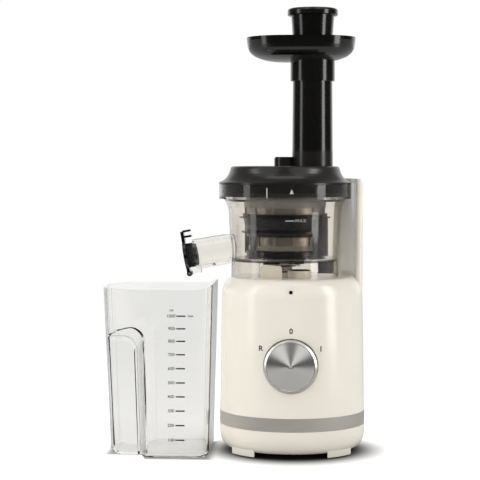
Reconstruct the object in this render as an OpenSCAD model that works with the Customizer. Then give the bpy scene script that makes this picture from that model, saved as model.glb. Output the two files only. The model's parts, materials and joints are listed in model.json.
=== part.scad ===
// Cold press juicer: motor base with a gearbox, clear juice bowl with strainer, auger and
// wiper brush, lid with feed tube, tray and pusher, and a measuring jug for the juice.
// Millimetres. The control knob faces -Y, and the juice spout and the jug are on the -X side.
// Each module is drawn around the axis of the round base, and on_table() then moves it along X,
// so that the origin lies on the table in the middle of juicer and jug together.

/* [Motor base] */
// Radius of the base at the trim band
base_r = 70.4; // [70:0.1:71]
// Height of the base without its tower
base_h = 169; // [169:0.5:171]
// Radius of the base where its shoulder starts to round over
shoulder_r = 68.1; // [67.6:0.1:68.4]
// Height of the underside of the base above the table
underside_z = 5; // [4.5:0.5:5.5]
// Lower edge of the brushed trim band
band_z0 = 27.1; // [26.6:0.1:27.4]
// Upper edge of the brushed trim band
band_z1 = 39.9; // [39:0.1:41]
// Wall of the moulded housing
housing_wall = 2.6; // [2.4:0.1:2.8]
// Top of the tower that stands behind the bowl
tower_z = 263.3; // [262:0.5:265]

/* [Control knob] */
// Radius of the knob
knob_r = 25.15; // [24.5:0.05:25.2]
// Height of the knob's axis
knob_z = 89; // [88:0.5:90]
// How far the knob's face stands in front of the base's axis
knob_front = 74.5; // [74:0.1:75]

/* [Juice bowl] */
// Distance of the bowl's axis from the base's axis, towards the spout
bowl_offset = 7.1; // [7:0.1:7.2]
// Outer radius of the bowl's lower skirt
skirt_r = 51.9; // [51.8:0.1:52]
// Outer radius of the collar that takes the lid
collar_r = 64; // [63.9:0.05:64.1]
// Lower edge of the collar
collar_z0 = 244.2; // [244:0.1:244.4]
// Upper edge of the collar
collar_z1 = 258; // [257.8:0.1:258.2]
// Wall of the clear bowl
bowl_wall = 2.2; // [2.1:0.1:2.3]

/* [Juice spout] */
// Outer radius of the spout tube at the bowl
spout_r = 14.15; // [14:0.05:14.3]
// Outer radius of the spout tube at its end
spout_end_r = 14.8; // [14.3:0.05:14.9]
// Slope of the spout, degrees below level
spout_tilt = 9.9; // [9.5:0.1:10.5]
// Length of the spout from the bowl's wall
spout_len = 36.3; // [35.8:0.1:36.8]

/* [Lid, tray and pusher] */
// Top of the lid's flat crown
lid_z = 275.7; // [275.5:0.1:276]
// Distance of the feed tube's axis from the bowl's axis
tube_offset = 26.5; // [26.4:0.1:26.6]
// Outer radius of the feed tube at its top
tube_r = 19.05; // [19:0.05:19.1]
// Top of the feed tube
tube_z = 376; // [375.8:0.1:376.1]
// Rim of the feed tray
tray_z = 399.3; // [399:0.1:399.6]
// Half the tray's depth, and the radius of its round ends
tray_r = 38.5; // [38:0.1:39]
// Top of the pusher
pusher_z = 427; // [426.8:0.1:427.5]

/* [Jug] */
// Height of the jug
jug_h = 159.7; // [158:0.5:161]
// Width of the jug at its mouth
jug_w = 107.3; // [106:0.1:107.5]
// Depth of the jug at its mouth
jug_d = 104; // [102:0.5:105]
// Wall of the jug
jug_wall = 2.2; // [2:0.1:2.4]
// Height of the pouring lip above the jug's rim
lip_h = 4.3; // [3.5:0.1:5]

/* [Gearbox] */
// Teeth of the motor pinion and of the idler's pinion
pinion_teeth = 12; // [12:1:12]
// Teeth of the idler gear and of the output gear
wheel_teeth = 54; // [54:1:54]
// Module of the first stage
stage1_module = 1; // [1:0.05:1]
// Module of the second stage
stage2_module = 1.25; // [1.25:0.05:1.25]

/* [Hidden] */
$fn = 64;
run_gap = 0.05;

// Where the main axes stand
jug_x = -127.5;
jug_y = -13;
band_out = 0.1;
base_x = (jug_w / 2 - jug_x - base_r - band_out) / 2;
bowl_x = -bowl_offset;
tube_x = bowl_x + tube_offset;
idler_x = bowl_x + stage2_module * (pinion_teeth + wheel_teeth) / 2;
motor_gap = stage1_module * (pinion_teeth + wheel_teeth) / 2;
motor_angle = 28;
motor_x = idler_x - motor_gap * cos(motor_angle);
motor_y = motor_gap * sin(motor_angle);

// Colours
cream = [0.91, 0.89, 0.84];
black = [0.08, 0.08, 0.08];
navy = [0.10, 0.12, 0.16];
clear = [0.85, 0.87, 0.86, 0.35];
steel = [0.72, 0.72, 0.72];
rubber = [0.12, 0.12, 0.12];
copper = [0.72, 0.42, 0.22];
nylon = [0.90, 0.89, 0.82];

// Heights in the base
shoulder_drop = 19;
shoulder_z = base_h - shoulder_drop;
shoulder_in = 10.6;
crown_r = shoulder_r - shoulder_in;
spigot_r = base_r - 1.5;
case_z0 = 106;
case_z1 = 139;
cover_z1 = 142;
boss_top_z = base_h + 4;

// ---------------------------------------------------------------- common shapes
module tube(r_out, r_in, z0, z1) {
    translate([0, 0, z0]) difference() {
        cylinder(r = r_out, h = z1 - z0);
        translate([0, 0, -1]) cylinder(r = r_in, h = z1 - z0 + 2);
    }
}

module rod(r, z0, z1) {
    translate([0, 0, z0]) cylinder(r = r, h = z1 - z0);
}

module hexagon(across, z0, z1) {
    translate([0, 0, z0]) cylinder(r = across / sqrt(3), h = z1 - z0, $fn = 6);
}

module turned(points) {
    rotate_extrude($fn = 96) polygon(points);
}

module on_table() { translate([base_x, 0, 0]) children(); }
module at_bowl() { translate([bowl_x, 0, 0]) children(); }
module at_tube() { translate([tube_x, 0, 0]) children(); }
module at_idler() { translate([idler_x, 0, 0]) children(); }
module at_motor() { translate([motor_x, motor_y, 0]) children(); }

// Local frame of the spout: z runs outwards along the tube, x points up
module at_spout() {
    translate([spout_x, 0, spout_z]) rotate([0, -90 - spout_tilt, 0]) children();
}
spout_x = -59.3;
spout_z = 195.8;

// Local frame of the knob: z points to the front, x to the right
module at_knob() {
    translate([0, 0, knob_z]) rotate([90, 0, 0]) children();
}

// ---------------------------------------------------------------- involute gears
pressure = 25;
flank_steps = 4;
// Involute function in degrees
function inv(a) = tan(a) * 180 / PI - a;
// Half the tooth's angle at radius r, on a gear of z teeth and module m, thinned by slack
function half_tooth(r, z, m, slack) =
    let (rp = z * m / 2, rb = rp * cos(pressure), rr = max(r, rb))
    90 / z - slack / rp * 180 / PI / 2 + inv(pressure) - inv(acos(rb / rr));
function tooth(i, z, m, slack, add, ded) =
    let (rp = z * m / 2, r0 = rp - ded * m, r1 = rp + add * m)
    concat(
        [for (k = [0:flank_steps])
            let (r = r0 + (r1 - r0) * k / flank_steps,
                 a = 360 * i / z - half_tooth(r, z, m, slack))
            [r * cos(a), r * sin(a)]],
        [for (k = [flank_steps:-1:0])
            let (r = r0 + (r1 - r0) * k / flank_steps,
                 a = 360 * i / z + half_tooth(r, z, m, slack))
            [r * cos(a), r * sin(a)]]);
module gear_outline(z, m, slack = 0.2, add = 1, ded = 1.25) {
    polygon([for (i = [0:z - 1]) each tooth(i, z, m, slack, add, ded)]);
}
module gear_blank(z, m, z0, z1) {
    translate([0, 0, z0]) linear_extrude(z1 - z0) gear_outline(z, m);
}
module gear(z, m, z0, z1, bore) {
    difference() {
        gear_blank(z, m, z0, z1);
        rod(bore, z0 - 1, z1 + 1);
    }
}

// ---------------------------------------------------------------- motor base
function shoulder(r_in, r_out, drop, turn_from = 0) =
    [for (a = [turn_from:9:90]) [r_in + r_out * cos(a), shoulder_z + drop * sin(a)]];

module housing_envelope() {
    turned(concat([[0, band_z0 + 0.1], [spigot_r, band_z0 + 0.1], [spigot_r, band_z1],
        [base_r, band_z1]], shoulder(crown_r, shoulder_in, shoulder_drop), [[0, base_h]]));
}

module housing_hollow() {
    wall = housing_wall;
    turned(concat([[0, band_z0 - 1], [spigot_r - wall, band_z0 - 1], [spigot_r - wall, band_z1 + 3],
        [base_r - wall - 0.1, band_z1 + 5]],
        shoulder(crown_r, shoulder_in - wall, shoulder_drop - wall), [[0, base_h - wall]]));
}

// Plan of the tower: a crescent between the base's circle and a circle around the bowl
tower_in_r = 68.9;
tower_from = -6;
tower_to = 41;
tower_edge = 3.1;
tower_skin = 2;
module wedge(from, to) {
    reach = 120;
    polygon([[bowl_x, 0], [bowl_x + reach * cos(from), reach * sin(from)],
        [bowl_x + reach * cos((from + to) / 2), reach * sin((from + to) / 2)],
        [bowl_x + reach * cos(to), reach * sin(to)]]);
}
module tower_plan(from, to, r_out, r_in) {
    intersection() {
        difference() {
            circle(r = r_out, $fn = 96);
            translate([bowl_x, 0]) circle(r = r_in, $fn = 96);
        }
        wedge(from, to);
    }
}
module tower_front() {
    r_mid = tower_in_r + tower_edge;
    translate([bowl_x + r_mid * cos(tower_from), r_mid * sin(tower_from)]) circle(r = tower_edge);
}

// Tower: stands on the shoulder of the housing
tower_z0 = shoulder_z + 4;
module tower_shell() {
    edge = 4;
    floor_z = base_h + 3;
    pocket_top = tower_z - 4;
    color(cream) difference() {
        intersection() {
            translate([0, 0, tower_z0]) linear_extrude(tower_z - tower_z0) union() {
                tower_plan(tower_from, tower_to, shoulder_r, tower_in_r);
                tower_front();
            }
            turned([[0, shoulder_z], [shoulder_r + 1, shoulder_z], [shoulder_r + 1, tower_z - edge],
                [shoulder_r, tower_z - edge], [shoulder_r - 0.4, tower_z - 1.8],
                [shoulder_r - 1.4, tower_z - 0.6], [shoulder_r - 2.8, tower_z], [0, tower_z]]);
        }
        translate([0, 0, floor_z]) linear_extrude(pocket_top - floor_z)
            tower_plan(tower_from + 3, tower_to - 3, shoulder_r - tower_skin, tower_in_r - 1);
        housing_envelope();
        wire_slot();
    }
}

// Slot for the wire from the tower into the base
module wire_slot() {
    width = 8;
    rotate([0, 0, 18]) translate([64.3, -width / 2, shoulder_z - 2]) cube([1.6, width, 26]);
}

gearbox_screw_places = [[14, 34.5], [14, -34.5], [-36, 28], [-36, -28], [54, 27], [54, -27]];
foot_places = [[1, 1], [1, -1], [-1, 1], [-1, -1]];
cover_screw_x = 44;
cover_screw_y = 40;
cover_lip_r = spigot_r - housing_wall - 0.1;
cover_lip_h = 4;
pocket_r = knob_r + 0.7;
pocket_y = 61.5;
gland_z = 52;
gland_r = 6;
dot_z = 158;
dot_r = 1.75;
dot_y = 67.4;
post_x = 7.3;
post_y = -20;
post_r = 11.5;
post_z = 175.6;
tab_x = -18.9;
tab_y = -40;
tab_w = 19.9;
tab_z = 181.2;

module rounded_tab() {
    corner = 2.5;
    thick = 3;
    tall = tab_z - base_h;
    translate([tab_x, tab_y + thick / 2, base_h]) rotate([90, 0, 0]) linear_extrude(thick) {
        translate([-tab_w / 2, 0]) square([tab_w, tall - corner]);
        translate([-tab_w / 2 + corner, 0]) square([tab_w - 2 * corner, tall]);
        for (s = [-1, 1]) translate([s * (tab_w / 2 - corner), tall - corner]) circle(r = corner);
    }
}

// Raised parts on the crown, inside the bowl's skirt: collar of the shaft, post and tab
module crown_posts() {
    color(cream) {
        at_bowl() tube(12, 10, base_h, boss_top_z);
        difference() {
            translate([post_x, post_y, base_h]) cylinder(r = post_r, h = post_z - base_h);
            translate([post_x, post_y, post_z - 1]) cylinder(r = post_r - 1.5, h = 2);
        }
        rounded_tab();
    }
}

module motor_housing() {
    wall = housing_wall;
    dish = pocket_y - wall;
    color(cream) difference() {
        union() {
            difference() {
                housing_envelope();
                housing_hollow();
            }
            // bosses for the screws of the gearbox and of the base cover
            intersection() {
                housing_envelope();
                union() {
                    for (p = gearbox_screw_places)
                        translate([p[0], p[1], cover_z1]) cylinder(r = 4, h = base_h - cover_z1 - 1);
                    difference() {
                        for (f = foot_places)
                            translate([f[0] * cover_screw_x, f[1] * cover_screw_y, band_z0 + 0.1])
                                cylinder(r = 7.2, h = 35);
                        tube(base_r, cover_lip_r - 2.2, band_z0 - 1, band_z0 + cover_lip_h + 0.2);
                    }
                    translate([0, -dish, knob_z]) rotate([90, 0, 0]) cylinder(r = pocket_r + wall, h = 12);
                    at_bowl() rod(13, base_h - 12, base_h - 1);
                }
            }
        }
        at_knob() rod(pocket_r, pocket_y, base_r + 5);
        at_knob() rod(5, dish - 5, base_r);
        at_bowl() rod(10, base_h - 20, base_h + 1);
        for (p = gearbox_screw_places)
            translate([p[0], p[1], cover_z1 - 1]) cylinder(r = 1.5, h = 13);
        for (f = foot_places)
            translate([f[0] * cover_screw_x, f[1] * cover_screw_y, band_z0 - 1])
                cylinder(r = 2, h = 20);
        translate([0, base_r + 2, gland_z]) rotate([90, 0, 0]) cylinder(r = gland_r, h = 12);
        translate([0, -dot_y + 1, dot_z]) rotate([90, 0, 0]) cylinder(r = dot_r, h = 5);
        wire_slot();
    }
}

// Plate that closes the tower on the bowl's side
module tower_cover() {
    skin = 1.7;
    color(cream) translate([0, 0, base_h + 3.1]) linear_extrude(tower_z - base_h - 7.2)
        difference() {
            tower_plan(tower_from + 3.1, tower_to - 3.1, shoulder_r - tower_skin - 0.1, tower_in_r);
            translate([bowl_x, 0]) difference() {
                circle(r = 2 * tower_in_r);
                circle(r = tower_in_r + skin, $fn = 96);
            }
        }
}

cover_arc_r = 62;
cover_arc_z = 21;
module base_cover() {
    wall = 2.5;
    lip_r = cover_lip_r;
    lip_top = band_z0 + cover_lip_h;
    slot_w = 3;
    color(cream) difference() {
        union() {
            turned(concat([[0, underside_z], [cover_arc_r, underside_z]],
                [for (a = [80:-10:0]) [cover_arc_r + (base_r - cover_arc_r) * cos(a),
                    cover_arc_z - (cover_arc_z - underside_z) * sin(a)]],
                [[base_r, band_z0], [lip_r, band_z0], [lip_r, lip_top], [lip_r - 2, lip_top],
                 [lip_r - 2, cover_arc_z + 1]],
                [for (a = [0:10:80]) [cover_arc_r + (lip_r - 2 - cover_arc_r) * cos(a),
                    cover_arc_z - (cover_arc_z - underside_z - wall) * sin(a)]],
                [[cover_arc_r, underside_z + wall], [0, underside_z + wall]]));
            for (f = foot_places) foot_block(f, 0, 1.2, underside_z + wall + 1);
            for (f = foot_places)
                translate([f[0] * cover_screw_x, f[1] * cover_screw_y, underside_z + 2])
                    cylinder(r = 5, h = band_z0 - underside_z - 2);
        }
        for (f = foot_places) foot_block(f, 2, 0, 2.2);
        for (f = foot_places) translate([f[0] * cover_screw_x, f[1] * cover_screw_y, 0]) {
            cylinder(r = 4.2, h = 9);
            cylinder(r = 2.2, h = 40);
        }
        // cooling slots under the fan
        for (a = [0:30:330]) rotate([0, 0, a])
            translate([14, -slot_w / 2, underside_z - 1]) cube([22, slot_w, wall + 2]);
    }
}

// One foot: a block cut to the round plan of the base, shrunk by inset
module foot_block(f, inset, z0, z1) {
    inner_x = 34.5;
    outer_x = 56.7;
    inner_y = 26;
    intersection() {
        rod(66.5 - inset, z0, z1);
        translate([f[0] * (inner_x + outer_x) / 2, f[1] * (inner_y + 62) / 2, (z0 + z1) / 2])
            cube([outer_x - inner_x - 2 * inset, 62 - inner_y - 2 * inset, z1 - z0 + 1], center = true);
    }
}

module rubber_feet() {
    color(rubber) for (f = foot_places) foot_block(f, 2.1, 0, 2.2);
}

module trim_band() {
    color(steel) tube(base_r + band_out, spigot_r + 0.1, band_z0 + 0.1, band_z1 - 0.1);
}

module pan_screw(r, length, head_r, head_h) {
    difference() {
        union() {
            cylinder(r = r, h = length);
            translate([0, 0, -head_h]) cylinder(r = head_r, h = head_h);
        }
        for (turn = [0, 90]) rotate([0, 0, turn])
            translate([-head_r * 0.6, -0.5, -head_h - 1]) cube([head_r * 1.2, 1, 2]);
    }
}

module cover_screws() {
    color(steel) for (f = foot_places)
        translate([f[0] * cover_screw_x, f[1] * cover_screw_y, 9]) pan_screw(2, 32, 3.9, 2.5);
}

module alignment_dot() {
    color(black) translate([0, -dot_y + 1, dot_z]) rotate([90, 0, 0]) cylinder(r = dot_r, h = 1.2);
}

module bowl_buffer() {
    color(rubber) translate([post_x, post_y, post_z - 1]) cylinder(r = post_r - 1.5, h = 1.6);
}

module shaft_seal() {
    color(rubber) at_bowl() turned([[6 + run_gap, base_h - 3], [10, base_h - 3], [10, boss_top_z],
        [9, boss_top_z + 0.6], [6 + run_gap, boss_top_z + 0.6]]);
}

// The gland's neck reaches as far back as the knob reaches forward
module cord_gland() {
    color(black) translate([0, 0, gland_z]) rotate([-90, 0, 0]) difference() {
        union() {
            rod(gland_r, 62, 72.6);
            rod(gland_r + 2.5, 70.3, 72.6);
            rod(gland_r - 0.6, 72, knob_front);
        }
        rod(3.6, 60, knob_front + 2);
    }
}

// ---------------------------------------------------------------- control switch and knob
switch_back = 38.5;
switch_front = pocket_y - housing_wall;
nut_front = pocket_y + 2.6;
module control_switch() {
    half = 13;
    color(black) at_knob() difference() {
        union() {
            translate([-half, -half, switch_back]) cube([2 * half, 2 * half, switch_front - switch_back]);
            rod(5, switch_front - 1, nut_front + 0.6);
            for (x = [-8, 0, 8]) translate([x - 1.5, -6, switch_back - 6]) cube([3, 12, 7]);
        }
        rod(3 + run_gap, switch_back + 6, nut_front + 2);
    }
}

module switch_nut() {
    color(steel) at_knob() difference() {
        hexagon(15, pocket_y, nut_front);
        rod(5, pocket_y - 1, nut_front + 1);
    }
}

module speed_knob() {
    edge = 2.25;
    color(steel) at_knob() turned([[knob_r - 1.2, pocket_y + 1.2], [knob_r, pocket_y + 1.2],
        [knob_r, knob_front - edge - 0.2], [knob_r - 0.5, knob_front - edge + 0.6],
        [knob_r - edge, knob_front - 0.45], [0, knob_front], [0, knob_front - 2],
        [knob_r - 1.2 - edge, knob_front - 2.4], [knob_r - 1.2, knob_front - 4.6]]);
}

module knob_core() {
    color(black) at_knob() difference() {
        rod(knob_r - 1.2, pocket_y + 1.6, knob_front - 4.7);
        rod(10, pocket_y, nut_front + 1.5);
        difference() {
            rod(3, pocket_y, knob_front - 6);
            translate([2, -4, pocket_y]) cube([4, 8, 20]);
        }
    }
}

module switch_spindle() {
    color(steel) at_knob() difference() {
        rod(3, switch_back + 7, knob_front - 6.05);
        translate([2, -4, nut_front + 1]) cube([4, 8, 20]);
    }
}

// ---------------------------------------------------------------- electrical parts
board_x = -44;
module circuit_board() {
    color([0.10, 0.35, 0.20]) translate([board_x - 0.8, -24, 9]) cube([1.6, 52, 75]);
    color([0.2, 0.2, 0.22]) translate([board_x - 11, -18, 60]) cube([10.2, 16, 14]);
    color(steel) translate([board_x - 13, 4, 54]) cube([12.2, 20, 22]);
    color(black) for (y = [-12, 4])
        translate([board_x - 0.8, y, 36]) rotate([0, -90, 0]) cylinder(r = 5, h = 13);
}

capacitor_at = [-20, -43];
module run_capacitor() {
    translate([capacitor_at[0], capacitor_at[1], underside_z + 2.5]) {
        color([0.85, 0.85, 0.82]) cylinder(r = 12.6, h = 42);
        color(steel) for (x = [-5, 3]) translate([x, -3, 41]) cube([2, 6, 7]);
    }
}

// Wires: round tubes swept along chosen points
wire_sides = 8;
wire_r = 1.2;
mains_run = [[-10, 56, 51], [-20, 50, 48], [-28, 41, 46], [-34, 32, 46], [-40, 22, 46]];
motor_run = [[-41.5, 8, 79], [-38, -8, 80], [-33, -22, 76], [-27, -34, 66], [-24, -40, 60], [-23, -43, 57]];
knob_run = [[-41.5, -10, 80], [-36, -22, 88], [-26, -30, 92], [-16, -32, 92], [-8, -30.5, 90]];
tower_run = [[62.15, 18.7, 225.6], [62.1, 19.2, 205], [61.9, 20.1, 175], [61.9, 20.1, 152],
    [58, 19, 150], [48, 17, 151], [30, 18, 152], [0, 25, 152], [-20, 38, 149], [-34, 45, 138],
    [-38, 44, 110], [-42, 32, 92], [-41, 22, 80]];
function unit(v) = v / norm(v);
function ring(p, dir, r) =
    let (side = unit(cross(dir, abs(dir[2]) > 0.9 ? [1, 0, 0] : [0, 0, 1])), up = cross(dir, side))
    [for (k = [0:wire_sides - 1]) let (a = 360 * k / wire_sides) p + r * (cos(a) * side + sin(a) * up)];
module wire(path, r) {
    n = len(path);
    rings = [for (i = [0:n - 1])
        each ring(path[i], unit(path[min(i + 1, n - 1)] - path[max(i - 1, 0)]), r)];
    sides = [for (i = [0:n - 2], k = [0:wire_sides - 1])
        let (a = i * wire_sides + k, b = i * wire_sides + (k + 1) % wire_sides)
        each [[a, b, b + wire_sides], [a, b + wire_sides, a + wire_sides]]];
    caps = [[for (k = [wire_sides - 1:-1:0]) k], [for (k = [0:wire_sides - 1]) (n - 1) * wire_sides + k]];
    polyhedron(points = rings, faces = concat(sides, caps));
}
module wiring_harness() {
    color([0.55, 0.30, 0.12]) wire(mains_run, 2.4);
    color([0.12, 0.25, 0.60]) wire(motor_run, wire_r);
    color([0.12, 0.25, 0.60]) wire(knob_run, wire_r);
    color([0.75, 0.75, 0.75]) wire(tower_run, 0.6);
}

module reed_switch() {
    angle = 15;
    color([0.10, 0.35, 0.20]) at_bowl() rotate([0, 0, angle])
        translate([tower_in_r + 1.7, -4, 226]) cube([1.4, 8, 30]);
}

// ---------------------------------------------------------------- motor
motor_r = 36;
motor_z0 = 30;
stator_z0 = 46;
stator_z1 = 88;
bore_r = 21;
bearing_r = 8;
module motor_case() {
    skin = 1.5;
    color(steel) at_motor() difference() {
        union() {
            difference() {
                rod(motor_r, motor_z0, case_z0);
                rod(motor_r - skin, motor_z0 - 1, case_z0 - skin);
            }
            rod(bearing_r + 2, case_z0 - 7, case_z0);
        }
        rod(bearing_r, case_z0 - 8, case_z0 - 1.6);
        rod(5, case_z0 - 8, case_z0 + 1);
        for (s = [-1, 1]) translate(s * motor_screw) cylinder(r = 1.5, h = case_z0 + 1);
    }
}
// Screws on both sides of the motor's axis, clear of the gears above
motor_screw = 14 * [0.788, -0.616, 0];

module motor_end_cap() {
    color(steel) at_motor() difference() {
        union() {
            rod(motor_r, motor_z0 - 4, motor_z0);
            rod(bearing_r + 2, motor_z0 - 4, motor_z0 + 4);
        }
        rod(bearing_r, motor_z0 - 2, motor_z0 + 5);
        rod(5, motor_z0 - 5, motor_z0);
        for (a = [0:45:315]) rotate([0, 0, a]) translate([14, -3, motor_z0 - 5]) cube([14, 6, 6]);
    }
}

module stator_core() {
    slots = 12;
    color([0.45, 0.45, 0.47]) at_motor() difference() {
        rod(motor_r - 1.5, stator_z0, stator_z1);
        rod(bore_r, stator_z0 - 1, stator_z1 + 1);
        for (i = [0:slots - 1]) rotate([0, 0, 360 * i / slots])
            translate([bore_r - 1, -2, stator_z0 - 1]) cube([10, 4, stator_z1 - stator_z0 + 2]);
    }
}

module stator_windings() {
    slots = 12;
    color(copper) at_motor() {
        turned([[24, stator_z0 - 10], [30, stator_z0 - 10], [31.5, stator_z0 - 8], [31.5, stator_z0],
            [22.5, stator_z0], [22.5, stator_z0 - 8]]);
        turned([[22.5, stator_z1], [31.5, stator_z1], [31.5, stator_z1 + 7], [30, stator_z1 + 9],
            [24, stator_z1 + 9], [22.5, stator_z1 + 7]]);
        for (i = [0:slots - 1]) rotate([0, 0, 360 * i / slots])
            translate([bore_r + 2, -1.7, stator_z0]) cube([6.6, 3.4, stator_z1 - stator_z0]);
    }
}

module motor_bearings() {
    color(steel) at_motor() {
        tube(bearing_r, 3 + run_gap, motor_z0 - 2, motor_z0 + 3);
        tube(bearing_r, 3 + run_gap, case_z0 - 6.6, case_z0 - 1.6);
    }
}

module rotor_core() {
    color([0.5, 0.5, 0.52]) at_motor() {
        difference() {
            rod(bore_r - 0.5, stator_z0 - 2, stator_z1 + 2);
            rod(3, 0, 200);
            for (a = [0:20:340]) rotate([0, 0, a])
                translate([bore_r - 2.5, -0.6, stator_z0 - 3]) cube([4, 1.2, stator_z1 - stator_z0 + 6]);
        }
    }
}

pinion_z1 = 120.5;
module motor_shaft() {
    color(steel) at_motor() rod(3, 14, pinion_z1 + 0.5);
}

// A tooth of the idler points at the pinion, so the pinion shows it a gap
module motor_pinion() {
    to_idler = -motor_angle;
    color(steel) at_motor() rotate([0, 0, to_idler + 180 / pinion_teeth])
        gear(pinion_teeth, stage1_module, 111, pinion_z1, 3);
}

module cooling_fan() {
    color(black) at_motor() difference() {
        union() {
            rod(6, 15, 24);
            rod(30, 15, 16.5);
            for (a = [0:40:320]) rotate([0, 0, a]) translate([4, -0.8, 15]) cube([25.5, 1.6, 8.5]);
        }
        rod(3, 10, 30);
    }
}

// ---------------------------------------------------------------- gearbox
module gearbox_plan(grow) {
    translate([bowl_x, 0]) circle(r = 36.5 + grow);
    translate([idler_x, 0]) circle(r = 29 + grow);
}
module gearbox_ears(z0, z1) {
    for (p = gearbox_screw_places) translate([p[0], p[1], z0]) cylinder(r = 4.4, h = z1 - z0);
    for (y = [-1, 1]) translate([-36, y * 24, (z0 + z1) / 2]) cube([5, 9, z1 - z0], center = true);
}
axle_r = 4;
idler_z0 = 112;
idler_z1 = 120;
output_z0 = 122;
output_z1 = 131.5;
bush_r = 9;
screw_sink = 2.4;

module gearbox_case() {
    wall = 2;
    floor_h = 3;
    color([0.25, 0.25, 0.27]) difference() {
        union() {
            difference() {
                union() {
                    translate([0, 0, case_z0]) linear_extrude(case_z1 - case_z0) gearbox_plan(wall);
                    gearbox_ears(case_z0, case_z1);
                }
                translate([0, 0, case_z0 + floor_h]) linear_extrude(case_z1 - case_z0) gearbox_plan(0);
            }
            at_bowl() rod(bush_r + 1.5, case_z0, case_z0 + 6);
            at_idler() rod(axle_r + 3, case_z0, idler_z0 - 0.4);
        }
        at_bowl() rod(bush_r - 1, case_z0 + 1, case_z0 + 7);
        at_idler() rod(axle_r, case_z0 + 1, case_z1);
        at_motor() rod(7.5, case_z0 - 1, case_z0 + floor_h + 1);
        at_motor() for (s = [-1, 1]) translate(s * motor_screw) cylinder(r = 1.6, h = 200);
        for (p = gearbox_screw_places) translate([p[0], p[1], 0]) {
            cylinder(r = 1.6, h = 200);
            translate([0, 0, case_z0 - 1]) cylinder(r = 3.3, h = screw_sink + 1);
        }
    }
}

module gearbox_cover() {
    wall = 2;
    color([0.25, 0.25, 0.27]) difference() {
        union() {
            translate([0, 0, case_z1]) linear_extrude(cover_z1 - case_z1) gearbox_plan(wall);
            gearbox_ears(case_z1, cover_z1);
            at_bowl() rod(bush_r + 2, case_z1 - 2, cover_z1 + 6);
            at_idler() rod(axle_r + 3, case_z1 - 4, cover_z1);
        }
        at_bowl() rod(bush_r, case_z1 - 3, cover_z1 + 7);
        at_idler() rod(axle_r, case_z1 - 5, cover_z1 - 1);
        for (p = gearbox_screw_places) translate([p[0], p[1], 0]) cylinder(r = 1.6, h = 200);
    }
}

module gearbox_screws() {
    color(steel) for (p = gearbox_screw_places)
        translate([p[0], p[1], case_z0 + screw_sink]) pan_screw(1.5, 45, 3, 2);
}

module motor_screws() {
    color(steel) at_motor() for (s = [-1, 1]) translate(s * motor_screw)
        translate([0, 0, case_z0 + 3]) rotate([180, 0, 0]) pan_screw(1.5, 8, 2.8, 2);
}

module idler_axle() {
    color(steel) at_idler() rod(axle_r, case_z0 + 1, cover_z1 - 1);
}

module idler_gear() {
    pinion_top = output_z1 + 1.5;
    color(steel) at_idler() difference() {
        union() {
            rotate([0, 0, 180 - motor_angle]) gear_blank(wheel_teeth, stage1_module, idler_z0, idler_z1);
            rotate([0, 0, 180 + 180 / pinion_teeth])
                gear_blank(pinion_teeth, stage2_module, idler_z1 - 1, pinion_top);
        }
        rod(axle_r + run_gap, idler_z0 - 1, pinion_top + 1);
    }
}

module output_gear() {
    color(nylon) at_bowl() difference() {
        union() {
            gear(wheel_teeth, stage2_module, output_z0, output_z1, 6);
            tube(11, 6, output_z0 - 4, case_z1 - 3);
        }
        for (a = [30:60:330]) rotate([0, 0, a]) translate([21, 0, 0]) cylinder(r = 5, h = 200);
    }
}

hex_across = 12;
module drive_shaft() {
    color(steel) at_bowl() {
        rod(4.95, case_z0 + 1.2, case_z0 + 7);
        rod(6, case_z0 + 7, boss_top_z + 1);
        hexagon(hex_across, boss_top_z + 1, 204);
    }
}

module output_bearings() {
    color([0.75, 0.60, 0.35]) at_bowl() {
        tube(bush_r - 1, 5, case_z0 + 1, case_z0 + 6);
        tube(bush_r, 6 + run_gap, case_z1 - 2, cover_z1 + 6);
    }
}

// ---------------------------------------------------------------- juice bowl
bowl_z0 = base_h + 0.2;
floor_z0 = 184.9;
floor_z1 = 187.2;
hub_r = 13.5;
pinion_module = 1;
sun_teeth = 24;
planet_teeth = 20;
ring_teeth = sun_teeth + 2 * planet_teeth;
planet_x = (sun_teeth + planet_teeth) / 2 * pinion_module;
seat_z = 194.7;
wall_points = [[51.9, floor_z1], [53.8, 218], [54.5, 232], [55.2, 236], [56.4, 239],
    [57.9, 241.8], [59.6, collar_z0]];

module bowl_body() {
    t = bowl_wall;
    turned(concat([[skirt_r - t, bowl_z0], [skirt_r, bowl_z0]], wall_points,
        [[collar_r, collar_z0], [collar_r, collar_z1], [collar_r - t, collar_z1],
         [collar_r - t, collar_z0 + t], [57.6, collar_z0 + t]],
        [for (i = [len(wall_points) - 2:-1:1]) wall_points[i] - [t, -0.4]],
        [[skirt_r - t, floor_z1], [39.2, floor_z1], [39.2, floor_z1 + 1.2], [38, floor_z1 + 1.2],
         [38, floor_z1], [hub_r, floor_z1], [hub_r, 178.5], [hub_r + 2, 178.5],
         [hub_r + 2, floor_z0], [skirt_r - t, floor_z0]]));
}

// Duct under the bowl's floor that takes the pulp out at the back
pulp_angle = 96;
pulp_hole_r = 22;
module pulp_duct(grow) {
    half = 9 + grow;
    rotate([0, 0, pulp_angle]) translate([17 - grow, -half, 172 - grow])
        cube([44 + 2 * grow, 2 * half, floor_z0 - 172 + 2 * grow]);
}

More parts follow.
